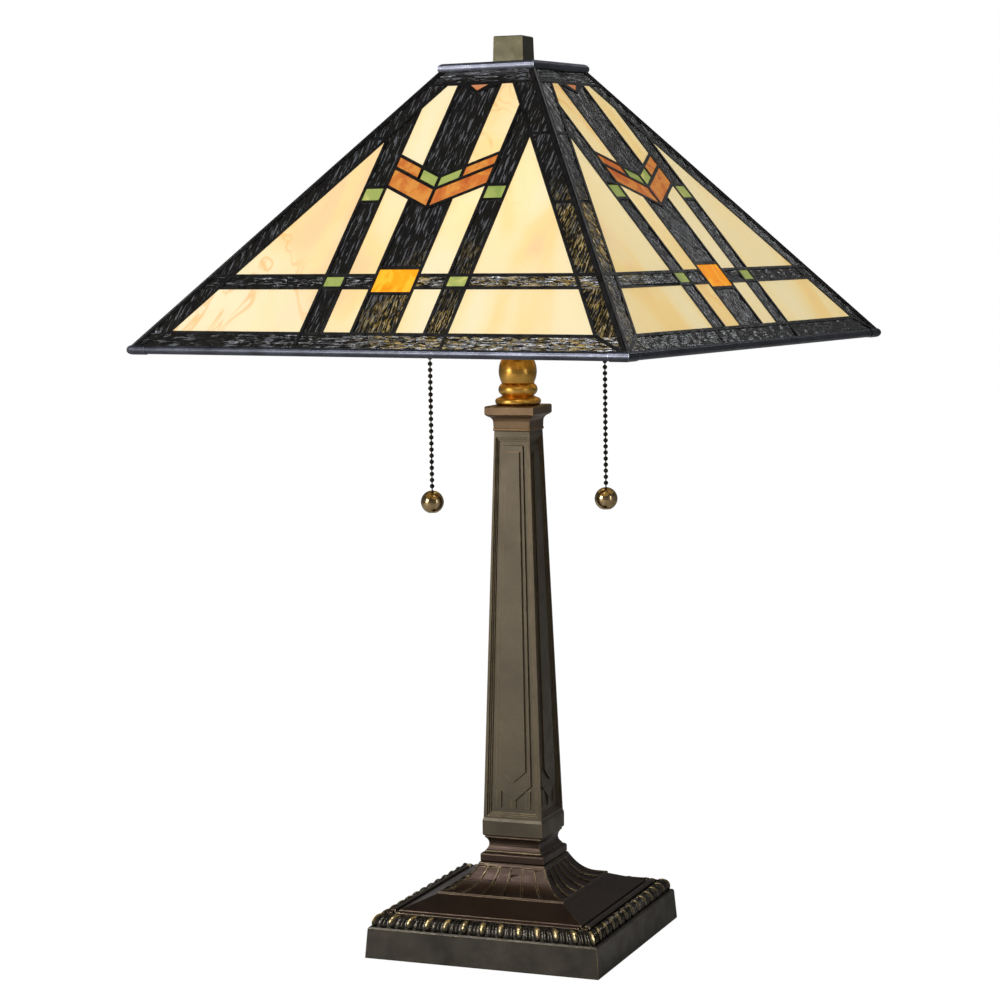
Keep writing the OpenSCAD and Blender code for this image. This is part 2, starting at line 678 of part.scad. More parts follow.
// A round bar along the front face's edge, at v up the slope and depth under the outer surface
module edge_bar(v, depth, r) {
    on_front_edge(v, depth) cylinder(r = r, h = 2 * far, center = true);
}
module on_front_edge(v, depth) {
    translate([0, -shade_half, rim_z]) rotate([slope, 0, 0]) translate([0, v, -depth]) rotate([0, 90, 0]) children();
}
module edge_frame() {
    difference() {
        rotate([0, 0, shade_turn]) mitred_frame() children();
        for (side = [0 : 3]) on_face(side) panel_slab();
        hip_solder();
    }
}
module rim_channel() {
    corner = shade_half - rim_v * taper - rim_depth * sin(slope);
    color("#3c3d42") edge_frame() union() {
        edge_bar(rim_v, rim_depth, rim_r);
        for (way = [0, 1]) mirror([way, 0, 0]) on_front_edge(rim_v, rim_depth)
            translate([0, 0, corner - knuckle]) cylinder(r = rim_r + 0.5, h = far);
    }
}
module top_ring() {
    color("#3c3d42") difference() {
        edge_frame() edge_bar(ring_v, ring_depth, ring_r);
        vent_plate();
    }
}

module vent_plate() {
    half = top_half + 0.4;
    rotate([0, 0, shade_turn]) translate([-half, -half, cap_plate_z]) cube([2 * half, 2 * half, cap_plate_t]);
}
module vent_cap() {
    color("#3c3d42") difference() {
        vent_plate();
        translate([0, 0, cap_plate_z - 1]) cylinder(r = stud_r + 0.6, h = 4);
        for (k = [0 : 7]) rotate([0, 0, shade_turn + 45 * k]) translate([25.5, 0, cap_plate_z - 1])
            cylinder(r = 3.5, h = 4);
    }
}

// ---- finial ----
module finial_insert() {
    color("goldenrod") translate([0, 0, cap_plate_z + cap_plate_t + 0.02]) difference() {
        union() {
            cylinder(r = 7, h = insert_flange_t);
            cylinder(r = insert_r, h = 12.5);
        }
        translate([0, 0, -1]) cylinder(r = stud_r + clear, h = 20);
    }
}

module finial() {
    half = finial_w / 2;
    top = finial_z + finial_h;
    color("#55503c") difference() {
        square_turning([[half - 0.4, finial_z], [half, finial_z + 0.5], [half - 0.5, top - 0.7], [half - 1.2, top]]);
        translate([0, 0, finial_z - 1]) cylinder(r = insert_r + clear, h = 14);
    }
}

// ---- one line for each node ----
felt_pad();
bottom_plate();
base_weight();
base_casting();
border_moulding();
cord_bushing();
base_washer();
base_nut();
lamp_pipe();
column_foot();
column();
capital();
turned_neck();
cluster_hub();
cluster_arms();
switch_blocks();
socket_liners();
screw_shells();
riser_tube();
lock_nut();
shade_rest();
for (end = ENDS) {
    socket_cap(end);
    socket_shell(end);
    bulb_cap(end);
    bulb_glass(end);
}
for (hand = HANDS) {
    switch_shell(hand);
    pull_link(hand);
    chain_swivel(hand);
    chain(hand);
    pull_ball(hand);
}
for (i = [0 : 3]) {
    came(i);
    cream_glass(i);
    dark_glass(i);
}
green_glass();
orange_glass();
amber_glass();
hip_solder();
rim_channel();
top_ring();
vent_cap();
finial_insert();
finial();
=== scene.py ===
"""The two-light table lamp with a square leaded glass shade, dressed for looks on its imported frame.

Metres, +Z up, the front of the base along -Y.
"""

import math

import bpy
import numpy as np
from mathutils import Matrix, Vector, noise
from mathutils.bvhtree import BVHTree


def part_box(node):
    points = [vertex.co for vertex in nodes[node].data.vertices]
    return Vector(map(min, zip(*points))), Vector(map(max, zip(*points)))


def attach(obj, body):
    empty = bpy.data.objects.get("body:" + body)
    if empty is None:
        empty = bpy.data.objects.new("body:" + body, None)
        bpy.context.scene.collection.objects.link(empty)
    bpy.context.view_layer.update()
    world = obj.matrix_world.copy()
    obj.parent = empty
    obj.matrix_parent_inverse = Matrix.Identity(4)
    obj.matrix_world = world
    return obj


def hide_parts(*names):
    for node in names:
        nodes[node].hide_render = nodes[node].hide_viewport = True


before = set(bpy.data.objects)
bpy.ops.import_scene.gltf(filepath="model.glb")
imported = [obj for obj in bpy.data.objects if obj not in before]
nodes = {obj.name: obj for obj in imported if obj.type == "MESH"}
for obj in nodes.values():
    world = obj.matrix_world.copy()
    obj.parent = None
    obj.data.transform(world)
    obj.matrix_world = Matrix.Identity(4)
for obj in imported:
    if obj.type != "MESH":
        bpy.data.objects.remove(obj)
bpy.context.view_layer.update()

MM = 0.001
SIDES = ("front", "right", "back", "left")

# The shade's faces, as in the CAD model
SHADE_TURN = math.radians(-9.5)
RIM_HALF, RIM_Z = 0.2045, 0.453
TOP_HALF, TOP_Z = 0.0345, 0.656
SLOPE = math.atan2(TOP_Z - RIM_Z, RIM_HALF - TOP_HALF)
FACE_LENGTH = math.hypot(TOP_Z - RIM_Z, RIM_HALF - TOP_HALF)
CAME_DEPTH = 3.6 * MM
GLASS_DEPTH = 2.6 * MM
# Up a face: the border strip's top, the cross band's lower and upper edges, and the top strip's foot
V_BORDER, V_LOW, V_BAND, V_TOP = 0.018, 0.058, 0.069, 0.2448

# Painted sparkles of bulb light in the dark glass, at fixed spots: on the front half of the shade, and turned half
# round on the back half
PAINTED_SPARKLES = ((0.100, -0.170, 0.525), (0.015, -0.190, 0.478), (0.105, -0.215, 0.462))
PAINTED_HOT_SPOTS = [(half * x, half * y, z) for half in (1, -1) for x, y, z in PAINTED_SPARKLES]

CAMERA_AZIMUTH = math.radians(21.3)
CAMERA_PITCH, CAMERA_ROLL = 0.124, -0.013
CAMERA_TARGET, CAMERA_DISTANCE = Vector((0, 0, 0.290)), 1.9667
LENS_MM, SENSOR_MM = 94.53, 36
CAMERA_SHIFT = (-0.0202, 0.0606)

# Name, place, the height on the lamp's axis that it faces, width and height, watts, colour
LIGHTS = (
    ("key", (-1.5, -2.3, 1.0), 0.35, (0.9, 1.3), 62, (1, 0.985, 0.95)),
    ("skylight", (-0.95, -1.05, 1.77), 0.5, (0.45, 0.45), 14, (0.95, 0.96, 1)),
    ("strip", (2.3, -0.9, 0.8), 0.35, (0.2, 1.4), 7, (0.95, 0.97, 1)),
    ("rear", (0.5, 1.1, 2.1), 0.5, (0.8, 0.8), 6, (1, 1, 1)),
    ("glint", (1.05, 2.4, 1.95), 0.5, (0.3, 0.3), 0.9, (0.95, 0.97, 1)),
)
# The dim room that the lamp mirrors: its tone at the level of the horizon and below, and its tone from 30 degrees up
ROOM_TONES = ((0.0, 0.22), (0.5, 0.09))
FLOOR_HALF = 6

# Metals: the patina's two tones, how metallic and how rough they are, and the tone that shows where edges are rubbed
METALS = {
    "dark_bronze": dict(dark="2b2722", light="433e36", metallic=0.72, rough=(0.30, 0.44), cloud=22,
                        rub="d3c28e", rub_radius=0.6 * MM, warm=("35241b", 33.4 * MM)),
    # The border's beads also take the mesh's rub on their high spots: partly wear, partly a painted highlight on their
    # upper side
    "bead_bronze": dict(dark="2e2b26", light="4b4741", metallic=0.85, rough=(0.22, 0.34), cloud=22,
                        rub="c9b27c", rub_radius=0.6 * MM, wear_and_highlight=True),
    "column_bronze": dict(dark="3f382c", light="5a5040", metallic=0.6, rough=(0.36, 0.48), cloud=14,
                          rub="8f7a52", rub_radius=0.7 * MM),
    "capital_bronze": dict(dark="4a3a28", light="785f45", metallic=0.7, rough=(0.30, 0.42),
                           rub="c09a60", rub_radius=0.7 * MM),
    "neck_brass": dict(dark="bd8d40", light="e6b65c", metallic=1.0, rough=(0.24, 0.34)),
    "socket_brass": dict(dark="6a5129", light="937444", metallic=0.9, rough=(0.25, 0.4),
                         rub="caa667", rub_radius=0.5 * MM),
    "plain_brass": dict(dark="b08c46", light="d3b069", metallic=1.0, rough=(0.2, 0.35)),
    "ball_brass": dict(dark="8b7650", light="c0a880", metallic=1.0, rough=(0.16, 0.26), cloud=160),
    "chain_metal": dict(dark="15130f", light="2b2721", metallic=0.85, rough=(0.25, 0.4), cloud=300),
    "plated_steel": dict(dark="8c8c88", light="b4b4ae", metallic=1.0, rough=(0.25, 0.4)),
    "iron": dict(dark="1d1c1b", light="34322f", metallic=0.6, rough=(0.6, 0.8), grain=0.5),
    "rim_metal": dict(dark="34353c", light="50525c", metallic=0.85, rough=(0.24, 0.38), cloud=40,
                      rub="a8abb8", rub_radius=0.6 * MM),
    "ring_metal": dict(dark="4a4b54", light="6b6d79", metallic=0.8, rough=(0.26, 0.4), cloud=40,
                       rub="b4b7c4", rub_radius=0.6 * MM),
    "finial_bronze": dict(dark="37331f", light="4a452f", metallic=0.6, rough=(0.38, 0.5), cloud=60,
                          rub="6f6747", rub_radius=0.7 * MM),
}
# Felt, plastics and card: two tones, the size of the fibres or grains, how far they stand out, and the roughness
SOFT_MATERIALS = {
    "felt": ("101611", "202a22", 900, 0.8, 0.9),
    "black_plastic": ("0d0d0d", "171717", 500, 0.15, 0.45),
    "phenolic": ("130e0b", "241a13", 300, 0.2, 0.4),
    "card": ("8f774d", "b39a6c", 500, 0.4, 0.85),
}
# The accent glass: the tones of its swirls, their scale along X, Y and Z, and the paler tone of the topmost pieces
COLOURED_GLASS = {
    "green_glass": (((0.3, "839850"), (0.5, "a3ae64"), (0.7, "c8c578")), (40, 40, 25), None),
    "orange_glass": (((0.25, "ad552e"), (0.42, "c47538"), (0.58, "d39648"), (0.75, "b25a3c")), (45, 45, 30), "c98d66"),
    "amber_glass": (((0.3, "ec9419"), (0.46, "f4ab1e"), (0.6, "f9c238"), (0.74, "f09f20")), (70, 70, 22), None),
}
# The height over which the topmost pieces turn paler
PALE_TOP_Z = (0.632, 0.640)
GLASS_ROUGHNESS = 0.3
GLASS_BEVEL = 0.3 * MM
# How much of a piece's light comes through it, and how strongly the bulbs, the glass and the floor shine by themselves;
# the glass's shine is painted lamplight, even in the cream and accent glass and at the dark glass's sparkles
CREAM_SHARE, COLOURED_SHARE = 0.5, 0.4
BULB_GLOW, GLASS_GLOW, DARK_GLASS_GLOW, FLOOR_GLOW = 5.0, 0.5, 0.32, 1.03
# Dark glass: the radii of a painted hot spot's core and of its edge, the mesh's step, and how high its ripples are
HOT_CORE, HOT_EDGE = 0.030, 0.078
RIPPLE_STEP, RIPPLE_HEIGHT = 1.25 * MM, 0.22 * MM
# The ripples' waves in a metre along a strip and across it, and how far their pattern shifts from one face to the next
WAVES_ALONG, WAVES_ACROSS, FACE_SHIFT = 110, 300, 7.3

# Which material each CAD node has, and the radius that its sharp edges are broken to
DRESSING = (
    ("felt_pad", "felt", 0),
    ("bottom_plate", "plated_steel", 0),
    ("base_weight", "iron", 0.8 * MM),
    ("base_casting", "dark_bronze", 0.25 * MM),
    ("cord_bushing", "black_plastic", 0.3 * MM),
    ("base_washer", "plated_steel", 0),
    ("base_nut", "plain_brass", 0.3 * MM),
    ("lamp_pipe", "plated_steel", 0),
    ("column_foot", "dark_bronze", 0.4 * MM),
    ("column", "column_bronze", 0.25 * MM),
    ("capital", "capital_bronze", 0.35 * MM),
    ("turned_neck", "neck_brass", 0),
    ("cluster_hub", "socket_brass", 0),
    ("cluster_arms", "plain_brass", 0),
    ("switch_blocks", "phenolic", 0),
    ("socket_liners", "card", 0),
    ("screw_shells", "plated_steel", 0),
    ("riser_tube", "plated_steel", 0),
    ("lock_nut", "plain_brass", 0.3 * MM),
    ("shade_rest", "plain_brass", 0.3 * MM),
    ("hip_solder", "solder", 0),
    ("rim_channel", "rim_metal", 0),
    ("top_ring", "ring_metal", 0),
    ("vent_cap", "rim_metal", 0.3 * MM),
    ("finial_insert", "plain_brass", 0),
)
SOCKET_DRESSING = (("_socket_cap", "socket_brass"), ("_socket_shell", "socket_brass"),
                   ("_bulb_cap", "plated_steel"), ("_bulb_glass", "lit_bulb"))
PULL_DRESSING = (("_switch_shell", "socket_brass"), ("_pull_link", "chain_metal"), ("_chain_swivel", "chain_metal"),
                 ("_chain", "chain_metal"), ("_pull_ball", "ball_brass"))


# ---- meshes, camera and lights ----
def within(low, value, high):
    return max(low, min(high, value))


def mesh_object(name, points, faces, smooth=False):
    mesh = bpy.data.meshes.new(name)
    mesh.from_pydata([tuple(p) for p in points], [], [tuple(int(i) for i in f) for f in faces])
    mesh.validate()
    if smooth:
        mesh.shade_smooth()
    made = bpy.data.objects.new(name, mesh)
    bpy.context.collection.objects.link(made)
    return made


def add_camera():
    """A long lens, 7 degrees above level and 21 degrees round from the front."""
    level = math.cos(CAMERA_PITCH)
    away = Vector((math.sin(CAMERA_AZIMUTH) * level, -math.cos(CAMERA_AZIMUTH) * level, math.sin(CAMERA_PITCH)))
    right = Vector((math.cos(CAMERA_AZIMUTH), math.sin(CAMERA_AZIMUTH), 0))
    up = away.cross(right)
    turned_right = math.cos(CAMERA_ROLL) * right + math.sin(CAMERA_ROLL) * up
    turned_up = math.cos(CAMERA_ROLL) * up - math.sin(CAMERA_ROLL) * right
    axes = Matrix((turned_right, turned_up, away)).transposed().to_4x4()
    camera = bpy.data.objects.new("Camera", bpy.data.cameras.new("Camera"))
    camera.matrix_world = Matrix.Translation(CAMERA_TARGET + CAMERA_DISTANCE * away) @ axes
    camera.data.lens = LENS_MM
    camera.data.sensor_width = SENSOR_MM
    camera.data.shift_x, camera.data.shift_y = CAMERA_SHIFT
    camera.data.clip_start = 0.05
    bpy.context.collection.objects.link(camera)
    bpy.context.scene.camera = camera


def add_area_light(name, place, target_height, size, power, colour):
    light = bpy.data.objects.new(name, bpy.data.lights.new(name, "AREA"))
    light.data.shape = "RECTANGLE"
    light.data.size, light.data.size_y = size
    light.data.energy = power
    light.data.color = colour
    light.location = place
    light.rotation_euler = (Vector((0, 0, target_height)) - Vector(place)).to_track_quat("-Z", "Y").to_euler()
    bpy.context.collection.objects.link(light)


# ---- shader graphs ----
def srgb(code):
    """A linear colour, with alpha, from a six-digit sRGB code."""
    parts = [int(code[i : i + 2], 16) / 255 for i in (0, 2, 4)]
    return tuple(p / 12.92 if p <= 0.04045 else ((p + 0.055) / 1.055) ** 2.4 for p in parts) + (1.0,)


def srgb_stops(stops):
    """Colour ramp stops from pairs of place and sRGB code."""
    return tuple((at, srgb(code)) for at, code in stops)


class Graph:
    """The shader nodes of a material or a world."""

    def __init__(self, owner):
        owner.use_nodes = True
        self.owner = owner
        self.tree = owner.node_tree
        self.tree.nodes.clear()

    def node(self, kind, inputs=None, **settings):
        """A new node, whose inputs are linked where they are sockets and set where they are values."""
        made = self.tree.nodes.new("ShaderNode" + kind)
        for name, value in settings.items():
            setattr(made, name, value)
        for key, value in (inputs or {}).items():
            if isinstance(value, bpy.types.NodeSocket):
                self.tree.links.new(value, made.inputs[key])
            else:
                made.inputs[key].default_value = value
        return made

    def place(self):
        """Object coordinates, which are the lamp's own frame in metres."""
        return self.node("TexCoord").outputs["Object"]

    def height(self, place):
        return self.node("SeparateXYZ", {0: place}).outputs["Z"]

    def stretch(self, place, scale, turn=(0, 0, 0)):
        return self.node("Mapping", {"Vector": place, "Scale": scale, "Rotation": turn}).outputs[0]

    def noise(self, place, scale=1.0, detail=3.0, rough=0.5, warp=0.0):
        inputs = {"Vector": place, "Scale": scale, "Detail": detail, "Roughness": rough, "Distortion": warp}
        return self.node("TexNoise", inputs).outputs["Fac"]

    def ramp(self, value, stops, smooth=False):
        made = self.node("ValToRGB", {"Fac": value})
        made.color_ramp.interpolation = "EASE" if smooth else "LINEAR"
        elements = made.color_ramp.elements
        while len(elements) < len(stops):
            elements.new(0.5)
        for element, (at, colour) in zip(elements, stops):
            element.position = at
            element.color = colour
        return made.outputs["Color"]

    def spread(self, value, low, high, to_low=0.0, to_high=1.0):
        """A smooth step from to_low at low to to_high at high."""
        inputs = {"Value": value, "From Min": low, "From Max": high, "To Min": to_low, "To Max": to_high}
        return self.node("MapRange", inputs, interpolation_type="SMOOTHSTEP").outputs[0]

    def maths(self, operation, a, b=0.0):
        return self.node("Math", {0: a, 1: b}, operation=operation).outputs[0]

    def product(self, a, b):
        return self.maths("MULTIPLY", a, b)

    def mix(self, share, a, b, blend="MIX"):
        return self.node("Mix", {0: share, 6: a, 7: b}, data_type="RGBA", blend_type=blend).outputs[2]

    def bump(self, height, strength, distance, normal=None):
        inputs = {"Height": height, "Strength": strength, "Distance": distance}
        if normal is not None:
            inputs["Normal"] = normal
        return self.node("Bump", inputs).outputs[0]

    def edges(self, radius, breakup):
        """1 along the outer edges, where handling has rubbed them, and 0 elsewhere."""
        rounded = self.node("Bevel", {"Radius": radius}, samples=6).outputs[0]
        flat = self.node("NewGeometry").outputs["Normal"]
        likeness = self.node("VectorMath", {0: rounded, 1: flat}, operation="DOT_PRODUCT").outputs["Value"]
        edge = self.spread(likeness, 0.995, 0.90)
        open_to_air = self.node("AmbientOcclusion", {"Distance": 3 * radius}, samples=6).outputs["AO"]
        raised = self.spread(open_to_air, 0.55, 0.85)
        return self.product(self.product(edge, raised), breakup)

    def mix_shaders(self, share, first, second):
        return self.node("MixShader", {0: share, 1: first.outputs[0], 2: second.outputs[0]})

    def add_shaders(self, first, second):
        return self.node("AddShader", {0: first.outputs[0], 1: second.outputs[0]})

    def finish(self, shader, output="OutputMaterial"):
        self.node(output, {"Surface": shader.outputs[0]})
        return self.owner


def material_graph(name):
    return Graph(bpy.data.materials.new(name))


# ---- metals, solder and soft materials ----
def metal(name, dark, light, metallic, rough, cloud=30, grain=0.06, rub=None, rub_radius=None, wear_and_highlight=False, warm=None):
    """Patinated metal: cloudy colour, rubbed edges, dull patches and a fine grain.

    When asked for, a mesh attribute also rubs the mesh's high spots, partly as wear and partly as a painted highlight
    on the upper side of the border's beads; warm is (tone, height) of a warmer patina above that height.
    """
    g = material_graph(name)
    place = g.place()
    clouds = g.noise(place, scale=cloud, detail=5, rough=0.6)
    fine = g.noise(place, scale=700, detail=3, rough=0.6)
    colour = g.ramp(clouds, ((0.32, srgb(dark)), (0.68, srgb(light))))
    colour = g.mix(g.spread(fine, 0.35, 0.75, 0, 0.35), colour, srgb(dark))
    if warm:
        tone, above = warm
        colour = g.mix(g.spread(g.height(place), above - 1 * MM, above, 0, 0.8), colour, srgb(tone))
    if rub:
        worn = g.spread(g.noise(place, scale=160, detail=3, rough=0.6), 0.3, 0.62, 0.25, 1)
        colour = g.mix(g.edges(rub_radius, worn), colour, srgb(rub))
        if wear_and_highlight:
            # The mesh's high spots, rubbed: partly wear, partly a painted highlight on the beads' upper side
            high = g.node("Attribute", attribute_name="wear_and_highlight").outputs["Fac"]
            colour = g.mix(g.product(high, worn), colour, srgb(rub))
    roughness = g.spread(g.noise(place, scale=90, detail=4, rough=0.6), 0.3, 0.7, *rough)
    bumps = g.bump(fine, grain, 0.15 * MM, g.bump(clouds, 0.1, 0.5 * MM))
    return g.finish(g.node("BsdfPrincipled", {
        "Base Color": colour, "Metallic": metallic, "Roughness": roughness, "Normal": bumps}))


def solder():
    """Dark patinated solder over foil: lumpy, dull, with a brown cast where it has been wiped."""
    g = material_graph("solder")
    place = g.place()
    lumps = g.noise(place, scale=170, detail=3, rough=0.55)
    stain = g.noise(place, scale=60, detail=4, rough=0.6)
    colour = g.ramp(stain, srgb_stops(((0.3, "080707"), (0.55, "0e0c0b"), (0.75, "1a1613"))))
    bumps = g.bump(lumps, 0.55, 0.5 * MM, g.bump(g.noise(place, scale=900, detail=2), 0.1, 0.1 * MM))
    roughness = g.spread(lumps, 0.3, 0.7, 0.25, 0.42)
    return g.finish(g.node("BsdfPrincipled", {
        "Base Color": colour, "Metallic": 0.1, "Roughness": roughness, "Normal": bumps, "Specular IOR Level": 0.25}))


def soft_material(name, dark, light, scale, bump, roughness):
    g = material_graph(name)
    fibres = g.noise(g.place(), scale=scale, detail=4, rough=0.7)
    colour = g.ramp(fibres, ((0.3, srgb(dark)), (0.7, srgb(light))))
    return g.finish(g.node("BsdfPrincipled", {
        "Base Color": colour, "Roughness": roughness, "Normal": g.bump(fibres, bump, 0.4 * MM)}))


# ---- glass ----
def face_matrix(side):
    """From a face's own frame (X across, Y up the slope, Z outwards) to the lamp's."""
    return (Matrix.Rotation(SHADE_TURN + side * math.pi / 2, 4, "Z")
            @ Matrix.Translation((0, -RIM_HALF, RIM_Z)) @ Matrix.Rotation(SLOPE, 4, "X"))


def on_face(g, side):
    """Coordinates in the face's own frame, so that a streak runs up the slope on each side."""
    matrix = face_matrix(side)
    return g.node("Mapping", {"Vector": g.place(), "Location": matrix.to_translation(),
                              "Rotation": matrix.to_euler("XYZ")}, vector_type="TEXTURE").outputs[0]


def lit_glass(g, colour, through, normal, share):
    """Opalescent glass: a milky face, light that comes through it, and a painted glow: the glass emits light by itself,
    standing in for the lamplight scattered inside it.
    """
    skin = g.mix(1.0, colour, srgb("cbcbcb"), "MULTIPLY")
    face = g.node("BsdfPrincipled", {"Base Color": skin, "Roughness": GLASS_ROUGHNESS, "Normal": normal,
                                     "Specular IOR Level": 0.16})
    body = g.mix_shaders(share, face, g.node("BsdfTranslucent", {"Color": through}))
    # Painted glow: the glass emits light by itself, in place of the lamplight scattered inside it
    glow = g.node("Emission", {"Color": through, "Strength": GLASS_GLOW})
    return g.finish(g.add_shaders(body, glow))


def cream_glass(side):
    """Ivory glass: broad cloudy streaks of white and pale yellow up the slope, and a few thin honey veins."""
    g = material_graph("cream_glass_" + SIDES[side])
    offset = (0.31 * side, 0.17 * side, 0.05 * side)
    place = g.node("VectorMath", {0: on_face(g, side), 1: offset}, operation="ADD").outputs[0]
    lean = math.radians(14 - 9 * side)
    broad = g.noise(g.stretch(place, (13, 4.5, 4.5), (0, 0, lean)), detail=3, rough=0.5, warp=0.8)
    fine = g.noise(g.stretch(place, (80, 14, 14), (0, 0, math.radians(12))), detail=5, rough=0.6, warp=0.5)
    cloud = g.noise(place, scale=11, detail=3, rough=0.5, warp=0.4)
    colour = g.ramp(broad, srgb_stops((
        (0.32, "f0eee6"), (0.44, "f1ebd8"), (0.54, "f1e4c0"), (0.64, "efdcc2"), (0.75, "f0ead8"))), smooth=True)
    colour = g.mix(g.spread(cloud, 0.45, 0.68, 0, 0.75), colour, srgb("f0eee6"))
    colour = g.mix(g.spread(fine, 0.55, 0.75, 0, 0.16), colour, srgb("ecd3a0"))
    winding = g.noise(g.stretch(place, (16, 9, 9), (0, 0, math.radians(-20))), detail=3, rough=0.55, warp=1.5)
    vein = g.spread(g.maths("ABSOLUTE", g.maths("SUBTRACT", winding, 0.5)), 0.0, 0.022, 1, 0)
    patch = g.spread(g.noise(place, scale=7, detail=2), 0.5, 0.64)
    colour = g.mix(g.product(g.product(vein, patch), 0.5), colour, srgb("eeb765"))
    through = g.mix(1.0, colour, srgb("f2e6c0"), "MULTIPLY")
    normal = g.bump(g.noise(place, scale=40, detail=3, rough=0.5), 0.2, 0.6 * MM)
    return lit_glass(g, colour, through, normal, CREAM_SHARE)


def coloured_glass(name, stops, swirls, pale_top):
    g = material_graph(name)
    place = g.place()
    swirl = g.noise(g.stretch(place, swirls), detail=4, rough=0.6, warp=1.6)
    colour = g.ramp(swirl, srgb_stops(stops), smooth=True)
    if pale_top:
        colour = g.mix(g.spread(g.height(place), *PALE_TOP_Z), colour, srgb(pale_top))
    normal = g.bump(g.noise(place, scale=160, detail=3, rough=0.5), 0.35, 0.5 * MM)
    return lit_glass(g, colour, colour, normal, COLOURED_SHARE)


def near_a_painted_hot_spot(g, place):
    """1 in the core of a painted hot spot of bulb light, and 0 beyond its edge."""
    away = 1.0
    for spot in PAINTED_HOT_SPOTS:
        distance = g.node("VectorMath", {0: place, 1: spot}, operation="DISTANCE").outputs["Value"]
        away = g.maths("MINIMUM", away, distance)
    return g.spread(away, HOT_CORE, HOT_EDGE, 1, 0)


def dark_glass():
    """Almost black water glass, rippled along each strip. At fixed hot spots it has painted olive and gold sparkles of
    bulb light, and its ripple crests carry a painted bluish-grey glint.
    """
    g = material_graph("dark_glass")
    grain = g.node("UVMap", uv_map="grain").outputs[0]
    place = g.place()
    ripple = g.noise(g.stretch(grain, (75, 620, 1)), detail=3, rough=0.55, warp=0.45)
    tint = g.ramp(g.noise(place, scale=38, detail=3, rough=0.6, warp=0.6), srgb_stops((
        (0.34, "09090c"), (0.50, "0c0a09"), (0.62, "0c0d08"), (0.75, "080a0c"))))
    thin = g.noise(g.stretch(grain, (130, 720, 1)), detail=3, rough=0.6, warp=0.9)
    glow = g.ramp(thin, srgb_stops(((0.44, "1c160b"), (0.51, "6b5a22"), (0.57, "d9b850"), (0.62, "fff2cc"))))
    # Painted sparkle: at the fixed hot spots, where the thin ripples peak, the glass lets light through and glows by
    # itself in olive and gold
    near = near_a_painted_hot_spot(g, place)
    clear = g.spread(g.noise(place, scale=24, detail=2, rough=0.5), 0.40, 0.56, 0.25, 1)
    painted_spark = g.spread(thin, 0.47, 0.59)
    share = g.maths("ADD", g.product(g.product(near, clear), g.product(painted_spark, 0.9)), 0.02)
    # Painted glint: the ripple crests are coloured pale bluish-grey, as though they catch the light
    painted_glint = g.product(g.spread(ripple, 0.55, 0.63), 0.8)
    face = g.node("BsdfPrincipled", {
        "Base Color": g.mix(painted_glint, tint, srgb("5f6166")), "Roughness": 0.1, "Specular IOR Level": 0.6, "IOR": 1.6,
        "Normal": g.bump(ripple, 1.0, 0.5 * MM)})
    light_through_and_painted_glow = g.add_shaders(g.node("BsdfTranslucent", {"Color": glow}),
                           g.node("Emission", {"Color": glow, "Strength": DARK_GLASS_GLOW}))
    return g.finish(g.mix_shaders(share, face, light_through_and_painted_glow))


def lit_bulb():
    """Frosted bulb, lit, with a faint mottle."""
    g = material_graph("lit_bulb")
    mottle = g.spread(g.noise(g.place(), scale=60, detail=3), 0.3, 0.7, 0.85, 1.0)
    colour = g.mix(mottle, srgb("ffe8ba"), srgb("fff4d8"))
    return g.finish(g.node("Emission", {"Color": colour, "Strength": BULB_GLOW}))


# ---- dressing the CAD nodes ----
def dress(name, material, bevel=0.0, segments=2):
    """Gives a CAD node its material, and breaks its sharp edges."""
    piece = nodes[name]
    piece.data.materials.clear()
    piece.data.materials.append(material)
    if bevel:
        weld = piece.modifiers.new("weld", "WELD")
        weld.merge_threshold = 1e-6
        rounding = piece.modifiers.new("bevel", "BEVEL")
        rounding.width = bevel
        rounding.segments = segments
        rounding.limit_method = "ANGLE"
        rounding.angle_limit = math.radians(32)
        rounding.use_clamp_overlap = True
        rounding.harden_normals = False


# ---- the rippled dark glass ----
def grain_is_level(v):
    """Whether the strip at that height on a face runs across it, and not up it."""
    return v < V_BORDER or V_LOW < v < V_BAND or v > V_TOP


def ripple_height(u, v, side):
    along, across = (u, v) if grain_is_level(v) else (v, u)
    height = noise.fractal(Vector((along * WAVES_ALONG, across * WAVES_ACROSS, side * FACE_SHIFT)), 0.9, 2.1, 3)
    return RIPPLE_HEIGHT * within(-1.0, height * 1.6, 1.0)


def cells_with_glass(side, us, vs):
    """The cells of a face's grid that touch its dark glass."""
    back = face_matrix(side).inverted()
    cad = nodes[SIDES[side] + "_dark_glass"].data
    tree = BVHTree.FromPolygons([back @ v.co for v in cad.vertices], [tuple(p.vertices) for p in cad.polygons])
    above, reach, down = 10 * MM, 12 * MM, Vector((0, 0, -1))
    held = np.zeros((len(us), len(vs)), bool)
    for i, u in enumerate(us):
        for j, v in enumerate(vs):
            held[i, j] = tree.ray_cast(Vector((u, v, above)), down, reach)[0] is not None
    return zip(*np.nonzero(held[:-1, :-1] | held[1:, :-1] | held[:-1, 1:] | held[1:, 1:]))


